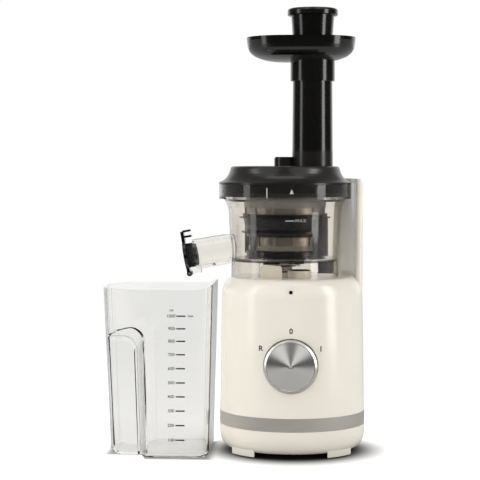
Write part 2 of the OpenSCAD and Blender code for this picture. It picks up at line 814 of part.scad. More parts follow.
plug_gap = 6.6;
plate_z0 = spout_len + plug_gap;
plate_t = 3.1;
hinge_x = -17.3;
hinge_z = plate_z0 + 0.9;
hinge_r = 2.6;
pin_r = 1.2;
module juice_bowl() {
    color(clear) difference() {
        union() {
            at_bowl() bowl_body();
            difference() {
                union() {
                    at_spout() translate([0, 0, -12])
                        cylinder(r1 = spout_r, r2 = spout_end_r, h = spout_len + 12);
                    at_spout() translate([hinge_x, 0, hinge_z]) rotate([90, 0, 0])
                        cylinder(r = hinge_r, h = 8, center = true);
                    at_spout() translate([hinge_x - 1, -4, spout_len - 4])
                        cube([6, 8, hinge_z - spout_len + 3]);
                }
                at_bowl() rod(skirt_r - 0.3, 160, 250);
            }
            at_bowl() for (s = [-1, 1]) translate([s * planet_x, 0, 0]) {
                rod(2.5, floor_z1 - 1, seat_z);
                rod(1.8, floor_z1, seat_z + 2.4);
            }
            at_bowl() intersection() {
                rod(61, 160, floor_z1 - 0.5);
                pulp_duct(1.8);
            }
            at_bowl() rotate([0, 0, pulp_angle]) translate([pulp_hole_r, 0, 0])
                rod(6.7, floor_z1 - 0.5, seat_z - 0.1);
            // walls on both sides of the base's tab
            for (s = [-1, 1]) translate([tab_x + s * (tab_w / 2 + 1) - 0.5, tab_y - 3.5, 171])
                cube([1, 7, floor_z1 - 171.5]);
        }
        at_spout() rod(spout_r - 2.15, 3, spout_len + 1);
        intersection() {
            at_spout() rod(spout_r - 2.15, -12, 4);
            rod(200, floor_z1 + 0.1, 250);
        }
        at_spout() translate([hinge_x, 0, hinge_z]) rotate([90, 0, 0])
            cylinder(r = pin_r, h = 20, center = true);
        at_bowl() pulp_duct(0);
        at_bowl() rotate([0, 0, pulp_angle]) translate([pulp_hole_r, 0, 0]) rod(5.5, 180, 196);
    }
}

module bowl_seal() {
    color([0.75, 0.75, 0.75]) at_bowl() turned([[10.5, 180], [hub_r, 180], [hub_r, floor_z1],
        [11.5, floor_z1], [10.45, floor_z1 - 1.5]]);
}

// Rubber flap of the pulp duct, and two rubber pads under the bowl's floor
module pulp_flap() {
    pad_h = 2.7;
    color([0.2, 0.2, 0.2]) {
        at_bowl() rotate([0, 0, -10]) translate([34, -8, 172.5]) cube([13, 16, floor_z0 - 172.5]);
        translate([tab_x - 7.5, tab_y - 2, floor_z0 - pad_h]) cube([15, 6, pad_h]);
        translate([post_x - 10.5, post_y - 6, floor_z0 - pad_h]) cube([15, 6, pad_h]);
    }
}

module cap_hinge_pin() {
    color(steel) at_spout() translate([hinge_x, 0, hinge_z]) rotate([90, 0, 0])
        cylinder(r = pin_r, h = 16, center = true);
}

// ---------------------------------------------------------------- strainer
cone_z0 = 207.8;
cone_z1 = 229.7;
strainer_r0 = 35.3;
strainer_r1 = 39.7;
strainer_z = 246;
mesh_t = 0.4;
module strainer_frame() {
    ribs = 12;
    rib_t = 0.9;
    band_z = 236;
    color([0.45, 0.45, 0.42]) at_bowl() difference() {
        union() {
            tube(strainer_r0, 14.3, seat_z, seat_z + 2.6);
            turned([[strainer_r0 - rib_t, seat_z], [strainer_r0, seat_z], [strainer_r0, 199.5],
                [strainer_r0 - rib_t, 199.5]]);
            turned([[strainer_r1 - rib_t, band_z], [strainer_r1, band_z], [strainer_r1, strainer_z],
                [strainer_r1 - rib_t, strainer_z]]);
            intersection() {
                turned([[strainer_r0 - rib_t, seat_z + 1], [strainer_r0, seat_z + 1],
                    [strainer_r0, cone_z0], [strainer_r1, cone_z1], [strainer_r1, band_z + 1],
                    [strainer_r1 - rib_t, band_z + 1], [strainer_r1 - rib_t, cone_z1],
                    [strainer_r0 - rib_t, cone_z0]]);
                union() for (i = [0:ribs - 1]) rotate([0, 0, 360 * (i + 0.5) / ribs])
                    translate([25, -1.1, seat_z]) cube([20, 2.2, 60]);
            }
        }
        for (s = [-1, 1]) translate([s * planet_x, 0, 0]) rod(1.85, 190, 200);
        rotate([0, 0, pulp_angle]) translate([pulp_hole_r, 0, 190]) cylinder(r = 5.5, h = 10);
    }
}

module strainer_mesh() {
    back = 0.9;
    color(steel) at_bowl() turned([[strainer_r0 - back - mesh_t, seat_z + 2.6],
        [strainer_r0 - back, seat_z + 2.6], [strainer_r0 - back, cone_z0],
        [strainer_r1 - back, cone_z1], [strainer_r1 - back, strainer_z - 1],
        [strainer_r1 - back - mesh_t, strainer_z - 1], [strainer_r1 - back - mesh_t, cone_z1],
        [strainer_r0 - back - mesh_t, cone_z0]]);
}

// ---------------------------------------------------------------- auger
flight_pitch = 34;
flight_z0 = 198;
flight_z1 = 258;
module auger() {
    core = [[0, 178.6], [10.4, 178.6], [10.4, floor_z1], [9, floor_z1 + 0.4], [9, 194.3],
        [13.6, 194.3], [13.6, flight_z0 - 0.2], [24, flight_z0], [21, 203], [17, 220], [12.5, 245],
        [9.5, flight_z1], [7, 261], [4.95, 262], [4.95, 279.5], [0, 279.5]];
    color([0.16, 0.17, 0.20]) at_bowl() difference() {
        union() {
            turned(core);
            intersection() {
                turned([[0, flight_z0], [33.4, flight_z0], [33.4, 208.5], [37.4, 230], [37.4, 246],
                    [30, 254], [9, flight_z1], [0, flight_z1]]);
                translate([0, 0, flight_z0 - 1])
                    linear_extrude(61, twist = -360 * 61 / flight_pitch, slices = 54)
                        square([76, 6.4], center = true);
            }
        }
        hexagon(hex_across + 0.3, 170, 206);
    }
}

module auger_gear() {
    color(nylon) at_bowl() gear(sun_teeth, pinion_module, floor_z1 + 0.4, 194.3, 9);
}

// Planet pinions on the bowl's floor, half a tooth out of step with the sun
module floor_pinion(side) {
    color(nylon) at_bowl() translate([side * planet_x, 0, 0]) rotate([0, 0, 180 / planet_teeth])
        gear(planet_teeth, pinion_module, floor_z1 + 0.4, 194.2, 2.5 + run_gap);
}
module left_pinion() { floor_pinion(-1); }
module right_pinion() { floor_pinion(1); }

// ---------------------------------------------------------------- wiper brush
brush_r = 37.5;
arm_angles = [-35, 35, 145, 215];
arm_w = 7;
blade_angles = [-35, 145];
blade_r0 = 44.3;
blade_r1 = 49.3;
module brush_frame() {
    color(navy) at_bowl() {
        difference() {
            rod(brush_r, floor_z1 + 0.3, 194.2);
            translate([0, 0, floor_z1]) rotate([0, 0, 180 / ring_teeth]) linear_extrude(10)
                gear_outline(ring_teeth, pinion_module, slack = -0.2, add = 1.25, ded = 1);
        }
        turned([[35.75, cone_z0], [36.8, cone_z0], [37.5, 211.4], [42.2, 211.6], [42.2, 212.6],
            [37.8, 212.8], [40.5, 225.4], [44.2, 225.6], [44.2, 226.6], [40.8, 226.8],
            [41.4, cone_z1], [40.1, cone_z1]]);
        intersection() {
            tube(37.2, 35.75, 194, cone_z0 + 0.5);
            union() for (a = arm_angles) rotate([0, 0, a])
                translate([20, -arm_w / 2, 190]) cube([30, arm_w, 20]);
        }
        for (a = blade_angles) rotate([0, 0, a]) difference() {
            translate([36.6, -1.2, 191]) cube([blade_r0 - 36.6, 2.4, 37]);
            turned([[0, 180], [brush_r - 0.2, 180], [36.9, 194.1], [36.7, cone_z0 + 0.5], [40.9, cone_z1],
                [0, cone_z1]]);
        }
    }
}

module wiper_blades() {
    color([0.72, 0.73, 0.72]) at_bowl() for (a = blade_angles) rotate([0, 0, a])
        translate([blade_r0, -0.9, 190]) cube([blade_r1 - blade_r0, 1.8, 38]);
}

// ---------------------------------------------------------------- cap of the spout
module juice_cap() {
    tab_half = 6;
    color(black) at_spout() difference() {
        union() {
            rod(15, plate_z0, plate_z0 + plate_t);
            translate([0, -tab_half, plate_z0]) cube([24, 2 * tab_half, plate_t]);
            for (x = [17.6, 23]) translate([x, -tab_half, plate_z0 - 7]) cube([2, 2 * tab_half, 8]);
            translate([hinge_x, -8, plate_z0]) cube([8, 16, plate_t]);
            translate([hinge_x, 0, hinge_z]) rotate([90, 0, 0])
                cylinder(r = hinge_r, h = 16, center = true);
            rod(9, plate_z0 - 3, plate_z0 + 1);
        }
        translate([hinge_x, 0, hinge_z]) rotate([90, 0, 0]) {
            cylinder(r = hinge_r + 0.4, h = 8.6, center = true);
            cylinder(r = pin_r + run_gap, h = 20, center = true);
        }
        translate([hinge_x - 4, -4.3, plate_z0 - 2]) cube([4.5, 8.6, 8]);
    }
}

// Ribbed rubber collar between plate and tube, with a plug that reaches into the tube
module cap_plug() {
    plug_z0 = spout_len - 2.8;
    collar_z = spout_len + 0.3;
    ribs = 4;
    pitch = (plate_z0 - collar_z) / ribs;
    color([0.15, 0.15, 0.16]) at_spout() difference() {
        turned(concat(
            [[0, plug_z0], [10, plug_z0], [10.6, plug_z0 + 0.8], [10.9, collar_z], [11.7, collar_z]],
            [for (k = [0:ribs - 1]) each [[12.1, collar_z + pitch * (k + 0.35)],
                [11.5, collar_z + pitch * (k + 1)]]],
            [[0, plate_z0]]));
        rod(9, plate_z0 - 3, plate_z0 + 1);
    }
}

// ---------------------------------------------------------------- lid
lid_in_r = collar_r - bowl_wall - 0.4;
lid_skirt_z = 250;
module lid_seal() {
    color([0.7, 0.7, 0.7]) at_bowl() turned([[58.4, 246.5], [lid_in_r, 246.5],
        [lid_in_r, lid_skirt_z], [58.4, lid_skirt_z]]);
}

module lid() {
    t = 2.4;
    boss_r = 10.5;
    color(black) difference() {
        union() {
            at_bowl() turned([[59.4, lid_skirt_z], [lid_in_r, lid_skirt_z],
                [lid_in_r, collar_z1 + 0.1], [collar_r, collar_z1 + 0.1], [collar_r, 259.8],
                [59.4, 262.2], [57.3, 264], [55.6, 266.2], [54.3, 268.6], [53.5, 270.8],
                [52.9, 273.2], [52.2, 274.6], [50.4, lid_z - 0.3], [40, lid_z], [0, lid_z],
                [0, lid_z - t], [49.6, lid_z - t], [50.6, 271], [51.8, 267.2], [53.4, 264],
                [56.6, 260.8], [59.4, 259]]);
            at_bowl() rod(boss_r, lid_z - t, 283.4);
            at_bowl() rod(boss_r - 0.8, 283, 284.4);
            at_bowl() rod(8.8, 264.5, lid_z - t + 1);
            at_tube() turned([[0, 268], [19.75, 268], [19.75, lid_z], [tube_r, 357], [tube_r, tube_z],
                [0, tube_z]]);
        }
        at_bowl() rod(5 + run_gap, 260, 280);
        at_tube() rod(17, 260, tube_z + 1);
    }
}

module lid_magnet() {
    color(steel) at_bowl() rotate([0, 0, 11]) rotate_extrude(angle = 8, $fn = 96)
        translate([57.8, 251]) square([1.5, 6]);
}

// ---------------------------------------------------------------- tray and pusher
tray_mid = tube_x - 11.2;
tray_shift = 14.1;
tray_drop = [[0, 0], [0.2, 3.3], [0.9, 8], [1.6, 11], [3, 13.8], [5.2, 16.1], [8.2, 18.3],
    [11.9, 19.9], [17, 21.6], [23, 22.8], [30, 23.5]];
// Half section of the tray, shrunk by t to give its inside
module tray_profile(t) {
    polygon(concat([for (p = tray_drop) [tray_r - p[0] - t, tray_z - p[1] + t]],
        [[0, tray_z - 23.6 + t], [0, tray_z + t]]));
}
module tray_solid(t) {
    translate([tray_mid, 0, 0]) {
        for (s = [-1, 1]) translate([s * tray_shift, 0, 0]) rotate_extrude($fn = 96) tray_profile(t);
        for (turn = [0, 180]) rotate([0, 0, turn]) rotate([90, 0, 90])
            translate([0, 0, -tray_shift]) linear_extrude(2 * tray_shift) tray_profile(t);
    }
}

sleeve_z = 357.4;
module feed_tray() {
    sleeve_in = tube_r + 0.3;
    color(black) difference() {
        union() {
            difference() {
                tray_solid(0);
                tray_solid(2);
            }
            at_tube() rod(sleeve_in + 2.1, sleeve_z, 378);
        }
        at_tube() rod(sleeve_in, sleeve_z - 1, tube_z + 0.2);
        at_tube() rod(17.1, tube_z, 390);
    }
}

step_z = 380.4;
module pusher() {
    low_r = 16.6;
    color(black) at_tube() turned([[0, 284], [low_r - 1.5, 284], [low_r, 285.5], [low_r, step_z],
        [19.2, step_z], [19.4, tray_z], [20.1, 411], [20.9, 420.5], [20.9, 424.5], [18.6, 424.5],
        [17.9, 411], [17.2, tray_z], [17.2, step_z + 2.2], [14.4, step_z + 2.2], [14.4, 286.4],
        [0, 286.4]]);
}

module pusher_cap() {
    rim = 24.3;
    color(black) at_tube() turned([[0, 424.6], [16.8, 424.6], [16.8, 419], [18, 419], [18.4, 424.6],
        [21.6, 424.6], [21.6, 420.8], [22.2, 420.2], [23.7, 420.2], [rim, 421], [rim, 425],
        [rim - 0.6, 426.3], [rim - 2, pusher_z], [rim - 4, pusher_z], [19, 426.2], [0, 425.9]]);
}

// ---------------------------------------------------------------- jug
foot_w = 97;
foot_d = 97;
foot_x = 1;
jug_corner = 13;
jug_end = 44;
jug_floor = 2.5;
grip_x = -139.3;
grip_half = 25;
grip_z = 123.6;
grip_round = 13;
grip_draft = 3.5;
// Side of the finger space at five depths: depth from the grip, step to the left, step down
grip_stops = [[0, -11, -14], [1, -9, -11.2], [3, -8, -9.7], [24, 0, 0], [60, 0, 0]];

// Upright tapered block, shrunk by inset, through levels of height and further inset: its corners
// are small on the side of the juicer and large on the side of the grip
module jug_block(inset, levels) {
    hull() for (level = levels) {
        share = level[0] / jug_h;
        w = foot_w + (jug_w - foot_w) * share;
        d = foot_d + (jug_d - foot_d) * share;
        for (side = [-1, 1], sy = [-1, 1]) {
            r = side < 0 ? jug_end : jug_corner;
            corner_x = jug_x + foot_x * (1 - share) + side * (w / 2 - r);
            translate([corner_x, jug_y + sy * (d / 2 - r), level[0]])
                cylinder(r = r - inset - level[1], h = 0.02, $fn = side < 0 ? 72 : 32);
        }
    }
}

// All that lies above the rim, which rises to the pouring lip on the side of the juicer
module above_rim() {
    run = 16;
    steps = 8;
    translate([jug_x, jug_y + jug_d, 0]) rotate([90, 0, 0]) linear_extrude(2 * jug_d)
        polygon(concat([[-jug_w, jug_h + 60], [-jug_w, jug_h]],
            [for (k = [0:steps]) [jug_w / 2 - run + run * k / steps, jug_h + lip_h * pow(k / steps, 2)]],
            [[jug_w, jug_h + lip_h], [jug_w, jug_h + 60]]));
}

// Space for the fingers beside the grip, widened by grow: it narrows towards the grip and widens
// towards the table
module grip_space(side, grow) {
    r = grip_round;
    reach = 60;
    below = 20;
    thin = 0.02;
    hull() for (stop = grip_stops)
        translate([grip_x + stop[1], jug_y + side * (grip_half + stop[0] - (stop[0] < 2 ? grow : 0)), 0]) {
            translate([-r, 0, grip_z + stop[2] - r]) rotate([90, 0, 0])
                cylinder(r = r + grow, h = thin, $fn = 48);
            translate([-reach, 0, grip_z + stop[2] + grow - 1]) cube([1, thin, 1]);
            translate([-reach, 0, -below]) cube([1, thin, 1]);
            translate([grip_draft * (1 + below / grip_z) + grow - 1, 0, -below]) cube([1, thin, 1]);
        }
}

module juice_jug() {
    top = jug_h + lip_h;
    color(clear) difference() {
        jug_block(0, [[0, 4.5], [1.3, 1.6], [4.5, 0], [top + 1, 0]]);
        above_rim();
        for (side = [-1, 1]) grip_space(side, 0);
        difference() {
            jug_block(jug_wall,
                [[jug_floor, 3.4], [jug_floor + 1.1, 1.2], [jug_floor + 3.4, 0], [top + 2, 0]]);
            for (side = [-1, 1]) grip_space(side, jug_wall);
        }
    }
}

on_table() motor_housing();
on_table() tower_shell();
on_table() crown_posts();
on_table() tower_cover();
on_table() base_cover();
on_table() trim_band();
on_table() rubber_feet();
on_table() cover_screws();
on_table() alignment_dot();
on_table() bowl_buffer();
on_table() shaft_seal();
on_table() cord_gland();
on_table() control_switch();
on_table() switch_nut();
on_table() circuit_board();
on_table() run_capacitor();
on_table() wiring_harness();
on_table() reed_switch();
on_table() motor_case();
on_table() motor_end_cap();
on_table() stator_core();
on_table() stator_windings();
on_table() motor_bearings();
on_table() motor_screws();
on_table() gearbox_case();
on_table() gearbox_cover();
on_table() gearbox_screws();
on_table() idler_axle();
on_table() output_bearings();
on_table() speed_knob();
on_table() knob_core();
on_table() switch_spindle();
on_table() rotor_core();
on_table() motor_shaft();
on_table() motor_pinion();
on_table() cooling_fan();
on_table() idler_gear();
on_table() output_gear();
on_table() drive_shaft();
on_table() juice_bowl();
on_table() bowl_seal();
on_table() strainer_frame();
on_table() strainer_mesh();
on_table() pulp_flap();
on_table() cap_hinge_pin();
on_table() auger();
on_table() auger_gear();
on_table() brush_frame();
on_table() wiper_blades();
on_table() left_pinion();
on_table() right_pinion();
on_table() juice_cap();
on_table() cap_plug();
on_table() lid_seal();
on_table() lid();
on_table() lid_magnet();
on_table() feed_tray();
on_table() pusher();
on_table() pusher_cap();
on_table() juice_jug();
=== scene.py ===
import json
import math

import bpy
import numpy as np
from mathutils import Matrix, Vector


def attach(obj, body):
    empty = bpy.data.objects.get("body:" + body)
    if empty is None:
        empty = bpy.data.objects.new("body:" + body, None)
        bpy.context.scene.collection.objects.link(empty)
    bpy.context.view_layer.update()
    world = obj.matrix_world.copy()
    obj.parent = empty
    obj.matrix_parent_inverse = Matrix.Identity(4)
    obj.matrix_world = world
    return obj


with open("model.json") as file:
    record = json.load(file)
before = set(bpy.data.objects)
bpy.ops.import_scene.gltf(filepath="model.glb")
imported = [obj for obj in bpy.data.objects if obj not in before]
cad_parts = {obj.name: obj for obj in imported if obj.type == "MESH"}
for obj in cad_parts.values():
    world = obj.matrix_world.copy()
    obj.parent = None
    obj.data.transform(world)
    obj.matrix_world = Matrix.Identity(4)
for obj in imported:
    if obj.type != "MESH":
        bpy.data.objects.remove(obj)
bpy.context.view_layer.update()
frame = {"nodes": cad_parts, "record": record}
nodes = frame["nodes"]
print("frame loaded,", len(nodes), "nodes")

scene = bpy.context.scene
scene.view_settings.view_transform = "Standard"

mm = 0.001
baseX = 0.055325  # where the axis of the motor base stands; x in the settings is measured from it
bowlX = -0.0071  # axis of the juice bowl

cameraSet = {"place": (0.0295, -1.591, 0.2805), "down": 2.76, "left": 2.89, "lens": 123.0, "sensor": 36.0,
             "clip": (0.1, 50.0)}
lampAim = (0.0, 0.0, 0.2)  # the point that each lamp is turned to
lampSet = {
    # name: place, size across and up, watts, colour, whether shiny and clear surfaces show it
    "leftBox": ((-1.13, -0.47, 0.55), (0.32, 1.3), 2.9, (1.0, 0.985, 0.96), True),
    "rightBox": ((1.15, -0.52, 0.50), (0.38, 1.3), 7.2, (1.0, 0.985, 0.96), True),
    "topBox": ((0.0, -0.35, 1.55), (1.1, 0.8), 3.5, (1.0, 0.99, 0.97), True),
    "frontFill": ((0.05, -2.05, 0.55), (0.7, 0.7), 1.5, (1.0, 0.985, 0.95), False),
    "fill": ((-1.55, -1.30, 0.45), (0.9, 0.9), 5.0, (1.0, 0.985, 0.95), False),
}


def fromAxis(place):
    return Vector((place[0] + baseX, place[1], place[2]))


def makeCamera(s):
    data = bpy.data.cameras.new("camera")
    data.lens, data.sensor_width = s["lens"], s["sensor"]
    data.clip_start, data.clip_end = s["clip"]
    cam = bpy.data.objects.new("camera", data)
    cam.location = fromAxis(s["place"])
    cam.rotation_euler = (math.radians(90 - s["down"]), 0, math.radians(s["left"]))
    scene.collection.objects.link(cam)
    scene.camera = cam


def makeLamps(lamps):
    aim = fromAxis(lampAim)
    for name, (place, size, watts, colour, mirrored) in lamps.items():
        data = bpy.data.lights.new(name, "AREA")
        data.shape, data.size, data.size_y = "RECTANGLE", size[0], size[1]
        data.energy, data.color = watts, colour
        lamp = bpy.data.objects.new(name, data)
        lamp.location = fromAxis(place)
        lamp.rotation_euler = (aim - lamp.location).to_track_quat("-Z", "Y").to_euler()
        lamp.visible_camera = False
        lamp.visible_glossy = lamp.visible_transmission = mirrored
        scene.collection.objects.link(lamp)


makeCamera(cameraSet)
makeLamps(lampSet)
print("camera and lamps made")


def mathNode(operation):
    return lambda self, other: self.finish.maths(operation, self, other)


def turnedMathNode(operation):  # for a number that stands left of a socket
    return lambda self, other: self.finish.maths(operation, other, self)


class Sum:  # a socket that takes part in python sums; each operation adds its Math node
    def __init__(self, finish, socket):
        self.finish, self.socket = finish, socket

    __add__ = mathNode("ADD")
    __radd__ = turnedMathNode("ADD")
    __sub__ = mathNode("SUBTRACT")
    __rsub__ = turnedMathNode("SUBTRACT")
    __mul__ = mathNode("MULTIPLY")
    __rmul__ = turnedMathNode("MULTIPLY")
    __truediv__ = mathNode("DIVIDE")
    __pow__ = mathNode("POWER")
    __gt__ = mathNode("GREATER_THAN")


def socketOf(sockets, key):  # by its number or by its name
    if isinstance(key, int):
        return sockets[key]
    return next(s for s in sockets if key in (s.identifier, s.name))


class Finish:  # one material, or the world, with the nodes it is made of
    def __init__(self, name, kind=bpy.data.materials):
        self.material = kind.new(name)
        self.material.use_nodes = True
        self.tree = self.material.node_tree
        self.tree.nodes.clear()

    def node(self, kind, settings, values, out=0):  # out is one output, or a tuple of them
        n = self.tree.nodes.new(kind)
        for key, v in settings.items():
            setattr(n, key, v)
        for key, v in values.items():
            socket = socketOf(n.inputs, key)
            if isinstance(v, Sum):
                self.tree.links.new(v.socket, socket)
            elif socket.type == "RGBA":
                socket.default_value = (*v, 1)
            else:
                socket.default_value = v
        if isinstance(out, tuple):
            return [Sum(self, socketOf(n.outputs, o)) for o in out]
        return Sum(self, socketOf(n.outputs, out)) if n.outputs else None

    def maths(self, operation, *values):
        return self.node("ShaderNodeMath", {"operation": operation}, dict(enumerate(values)))

    def rays(self, *names):
        return self.node("ShaderNodeLightPath", {}, {}, names)

    def place(self, out="Object"):
        return self.node("ShaderNodeTexCoord", {}, {}, out)

    def parts(self, vector):
        return self.node("ShaderNodeSeparateXYZ", {}, {0: vector}, ("X", "Y", "Z"))

    def gather(self, x, y, z):
        return self.node("ShaderNodeCombineXYZ", {}, {"X": x, "Y": y, "Z": z})

    def noise(self, vector, scale, detail=3.0, rough=0.5):
        values = {"Vector": vector, "Scale": scale, "Detail": detail, "Roughness": rough}
        return self.node("ShaderNodeTexNoise", {}, values, "Fac")

    def blend(self, factor, a, b):
        values = {"Factor_Float": factor, "A_Color": a, "B_Color": b}
        return self.node("ShaderNodeMix", {"data_type": "RGBA"}, values, "Result_Color")

    def ramp(self, value, ends, low=0.0, high=1.0):  # smooth change from low at the first end to high
        values = {"Value": value, "From Min": ends[0], "From Max": ends[1], "To Min": low, "To Max": high}
        return self.node("ShaderNodeMapRange", {"interpolation_type": "SMOOTHSTEP"}, values, "Result")

    def bump(self, height, distance, strength):
        values = {"Height": height, "Distance": distance, "Strength": strength}
        return self.node("ShaderNodeBump", {}, values, "Normal")

    def surface(self, **values):
        named = {k.replace("_", " "): v for k, v in values.items()}
        return self.node("ShaderNodeBsdfPrincipled", {}, named, "BSDF")

    def close(self, shader, kind="ShaderNodeOutputMaterial"):
        self.node(kind, {}, {"Surface": shader})
        return self.material


def shaded(colour, share):
    return [c * share for c in colour]


worldSet = {
    # brightness that rough surfaces get: everywhere, from behind, and from the left
    "ambient": 0.36, "backdrop": 1.6, "backdropSide": (0.05, 0.65),
    "leftWall": 1.0, "leftSide": (-0.80, -0.10),
    # what shiny surfaces mirror: behind the object, up to a height, and on the camera's side
    "behind": 1.0, "behindSide": (0.45, 0.85), "behindTop": (0.25, 0.50), "front": 0.04,
    # the bright area above the camera, the dark strip in its middle, wider upwards, and overhead
    "upper": 1.0, "upperEdge": (0.10, 0.28), "strip": 0.15, "stripEdge": (0.0, 0.05), "wedge": 0.30,
    "overhead": 0.25, "overheadSide": (-0.45, 0.05),
    # what clear parts let through from the camera's side
    "inside": 0.60, "insideSide": (-0.30, 0.30),
}
floorSet = {
    "half": 6.0, "height": -0.0003,  # just under the feet
    "colour": 0.86, "mottle": 60.0, "mottleDepth": 0.02,
    "white": (0.28, 1.0),  # distances over which the floor turns white for the camera
    "glow": 0.46,  # how much of that white it shows nearer by
    "throughNear": 0.30,  # how much darker the floor nearby looks through clear parts
    "front": (-0.60, -0.12),  # from here to the camera clear parts show the floor as it is lit
    "mirrorNear": 0.62, "mirrorFar": 0.06, "farFront": (-0.85, -0.40),  # what shiny surfaces mirror of it
    # painted shadow: distances from the base's axis over which the shadow painted into the floor fades, what
    # is left at the base, and distances over which the glow comes in, held back nearer by as painted shade
    "baseContact": (0.054, 0.098), "baseLeft": 0.06, "baseShade": (0.058, 0.130),
    # the same from the jug's middle, with what its painted shadow takes and what glow the painted shade
    # leaves
    "jugCentre": (-0.1265, -0.013), "jugPaintedShadow": (0.046, 0.056), "jugTakes": 0.75,
    "jugShade": (0.044, 0.062), "jugGlow": 0.35,
    "grip": (-0.143, -0.137), "gripInset": 0.0235,  # the jug's grip is narrower than the jug
}


def makeWorld(s):  # brightness by direction, where y points away from the camera
    world = Finish("room", bpy.data.worlds)
    camera, glossy, through = world.rays("Is Camera Ray", "Is Glossy Ray", "Is Transmission Ray")
    x, y, z = world.parts(world.place("Generated"))
    above = world.ramp(z, s["upperEdge"])
    strip = world.ramp(world.maths("ABSOLUTE", x) - z * s["wedge"], s["stripEdge"], s["strip"])
    front = s["front"] + above * strip * (s["upper"] - s["front"])
    front = front + world.ramp(y, s["overheadSide"]) * above * (s["overhead"] - front)
    behind = world.ramp(y, s["behindSide"]) * world.ramp(z, s["behindTop"], 1.0, 0.0)
    mirrored = front + (s["behind"] - front) * behind
    passed = world.ramp(y, s["insideSide"], s["inside"], s["behind"])
    rear = world.ramp(y, s["backdropSide"])
    left = world.ramp(x, s["leftSide"], 1.0, 0.0)
    around = s["ambient"] + rear * (s["backdrop"] - s["ambient"]) + left * (s["leftWall"] - s["ambient"])
    onlyGlossy = glossy * (1 - through)  # a ray that goes through clear plastic counts as both
    onlyRough = 1 - camera - glossy > 0.5
    strength = camera + through * passed + onlyGlossy * mirrored + onlyRough * around
    light = world.node("ShaderNodeBackground", {}, {"Color": (1, 1, 1), "Strength": strength})
    scene.world = world.close(light, "ShaderNodeOutputWorld")


def floorMaterial(s):
    floor = Finish("paleFloor")
    camera, glossy, through = floor.rays("Is Camera Ray", "Is Glossy Ray", "Is Transmission Ray")
    x, y = floor.parts(floor.place())[:2]
    away = (x * x + y * y) ** 0.5
    fromBase = ((x - baseX) * (x - baseX) + y * y) ** 0.5
    sideways = floor.maths("ABSOLUTE", x - (s["jugCentre"][0] + baseX))
    forward = floor.maths("ABSOLUTE", y - s["jugCentre"][1])
    inset = floor.ramp(x - baseX, s["grip"], s["gripInset"], 0.0)
    fromJug = floor.maths("MAXIMUM", sideways, forward + inset)

    far = floor.ramp(away, s["white"])
    farFront = floor.ramp(y, s["farFront"], 1.0, 0.0)
    throughBack = through * (1 - floor.ramp(y, s["front"], 1.0, 0.0))
    shown = camera + throughBack  # rays that should meet a white floor
    dim = 1 - through * (1 - far) * s["throughNear"]
    plain = floor.noise(floor.place(), s["mottle"]) * s["mottleDepth"] + (s["colour"] - s["mottleDepth"] / 2)
    mirrored = (s["mirrorNear"] + farFront * (s["mirrorFar"] - s["mirrorNear"])) * s["colour"]
    shade = (plain + (mirrored - plain) * glossy * (1 - throughBack)) * (1 - shown * far) * dim
    # painted shadow: the floor's colour is darkened round the base, and for the camera under the jug
    shade = shade * floor.ramp(fromBase, s["baseContact"], s["baseLeft"])
    shade = shade * (1 - camera * floor.ramp(fromJug, s["jugPaintedShadow"], s["jugTakes"], 0.0))
    base = floor.node("ShaderNodeBsdfDiffuse", {}, {"Color": floor.gather(shade, shade, shade)})

    # painted shade: the glow is held back round the base and round the jug
    clear = floor.ramp(fromBase, s["baseShade"]) * floor.ramp(fromJug, s["jugShade"], s["jugGlow"])
    lift = far + (1 - far) * clear * s["glow"]
    glow = floor.node("ShaderNodeEmission", {}, {"Strength": shown * lift * dim})
    return floor.close(floor.node("ShaderNodeAddShader", {}, {0: base, 1: glow}))


def makeFloor(s):
    corners = [(x * s["half"], y * s["half"], s["height"]) for x, y in ((-1, -1), (1, -1), (1, 1), (-1, 1))]
    mesh = bpy.data.meshes.new("floor")
    mesh.from_pydata(corners, [], [(0, 1, 2, 3)])
    mesh.materials.append(floorMaterial(s))
    ground = bpy.data.objects.new("floor", mesh)
    scene.collection.objects.link(ground)


makeWorld(worldSet)
makeFloor(floorSet)
print("room made")


plasticSet = {
    # name: colour, roughness, coat, grain in mm, depth of the grain in mm, height below which the
    # surface is satin
    "cream": ((0.80, 0.765, 0.675), 0.22, 0.35, 0.9, 0.004),
    # painted light: the body's cream made lighter for the tower's cover, standing in for light its inner
    # face does not get
    "creamPaintedLit": ((0.95, 0.905, 0.79), 0.16, 1.0, 0.9, 0.004),
    "black": ((0.0026, 0.0024, 0.0020), 0.18, 0.40, 0.7, 0.004),
    "lidBlack": ((0.0026, 0.0024, 0.0020), 0.18, 0.40, 0.7, 0.004, 0.290),
    "dark": ((0.020, 0.020, 0.021), 0.45, 0.0, 0.5, 0.010),
    "navy": ((0.0028, 0.0036, 0.0058), 0.26, 0.08, 0.7, 0.004),
    "nylon": ((0.78, 0.75, 0.64), 0.42, 0.0, 0.5, 0.008),
    "greyResin": ((0.050, 0.052, 0.058), 0.50, 0.0, 0.4, 0.012),
    "rubber": ((0.016, 0.016, 0.016), 0.62, 0.0, 0.35, 0.015),
    "silicone": ((0.50, 0.50, 0.49), 0.40, 0.0, 0.5, 0.006),
    "darkSilicone": ((0.030, 0.030, 0.029), 0.42, 0.0, 0.5, 0.006),
    "strainerGrey": ((0.15, 0.139, 0.122), 0.35, 0.0, 0.6, 0.006),
    "wire": ((0.020, 0.060, 0.30), 0.40, 0.0, 0.6, 0.004),
    "board": ((0.010, 0.095, 0.035), 0.35, 0.2, 0.8, 0.006),
}
mouldSet = {
    "relief": 0.5, "index": 1.46, "coatRoughness": 0.08,
    "clouds": 18.0, "cloudEdge": (0.3, 0.7), "cloudShades": (0.985, 1.015),  # slow change of shade
    "patches": 160.0, "patchDepth": 0.06,  # slow change of roughness
    # the satin part's colour is made lighter as a painted sheen; its rougher, less coated finish is real
    "satinFade": 0.002, "satinSheenPainted": 3.5, "satinRoughness": 0.08, "satinLessCoat": 0.6,
}


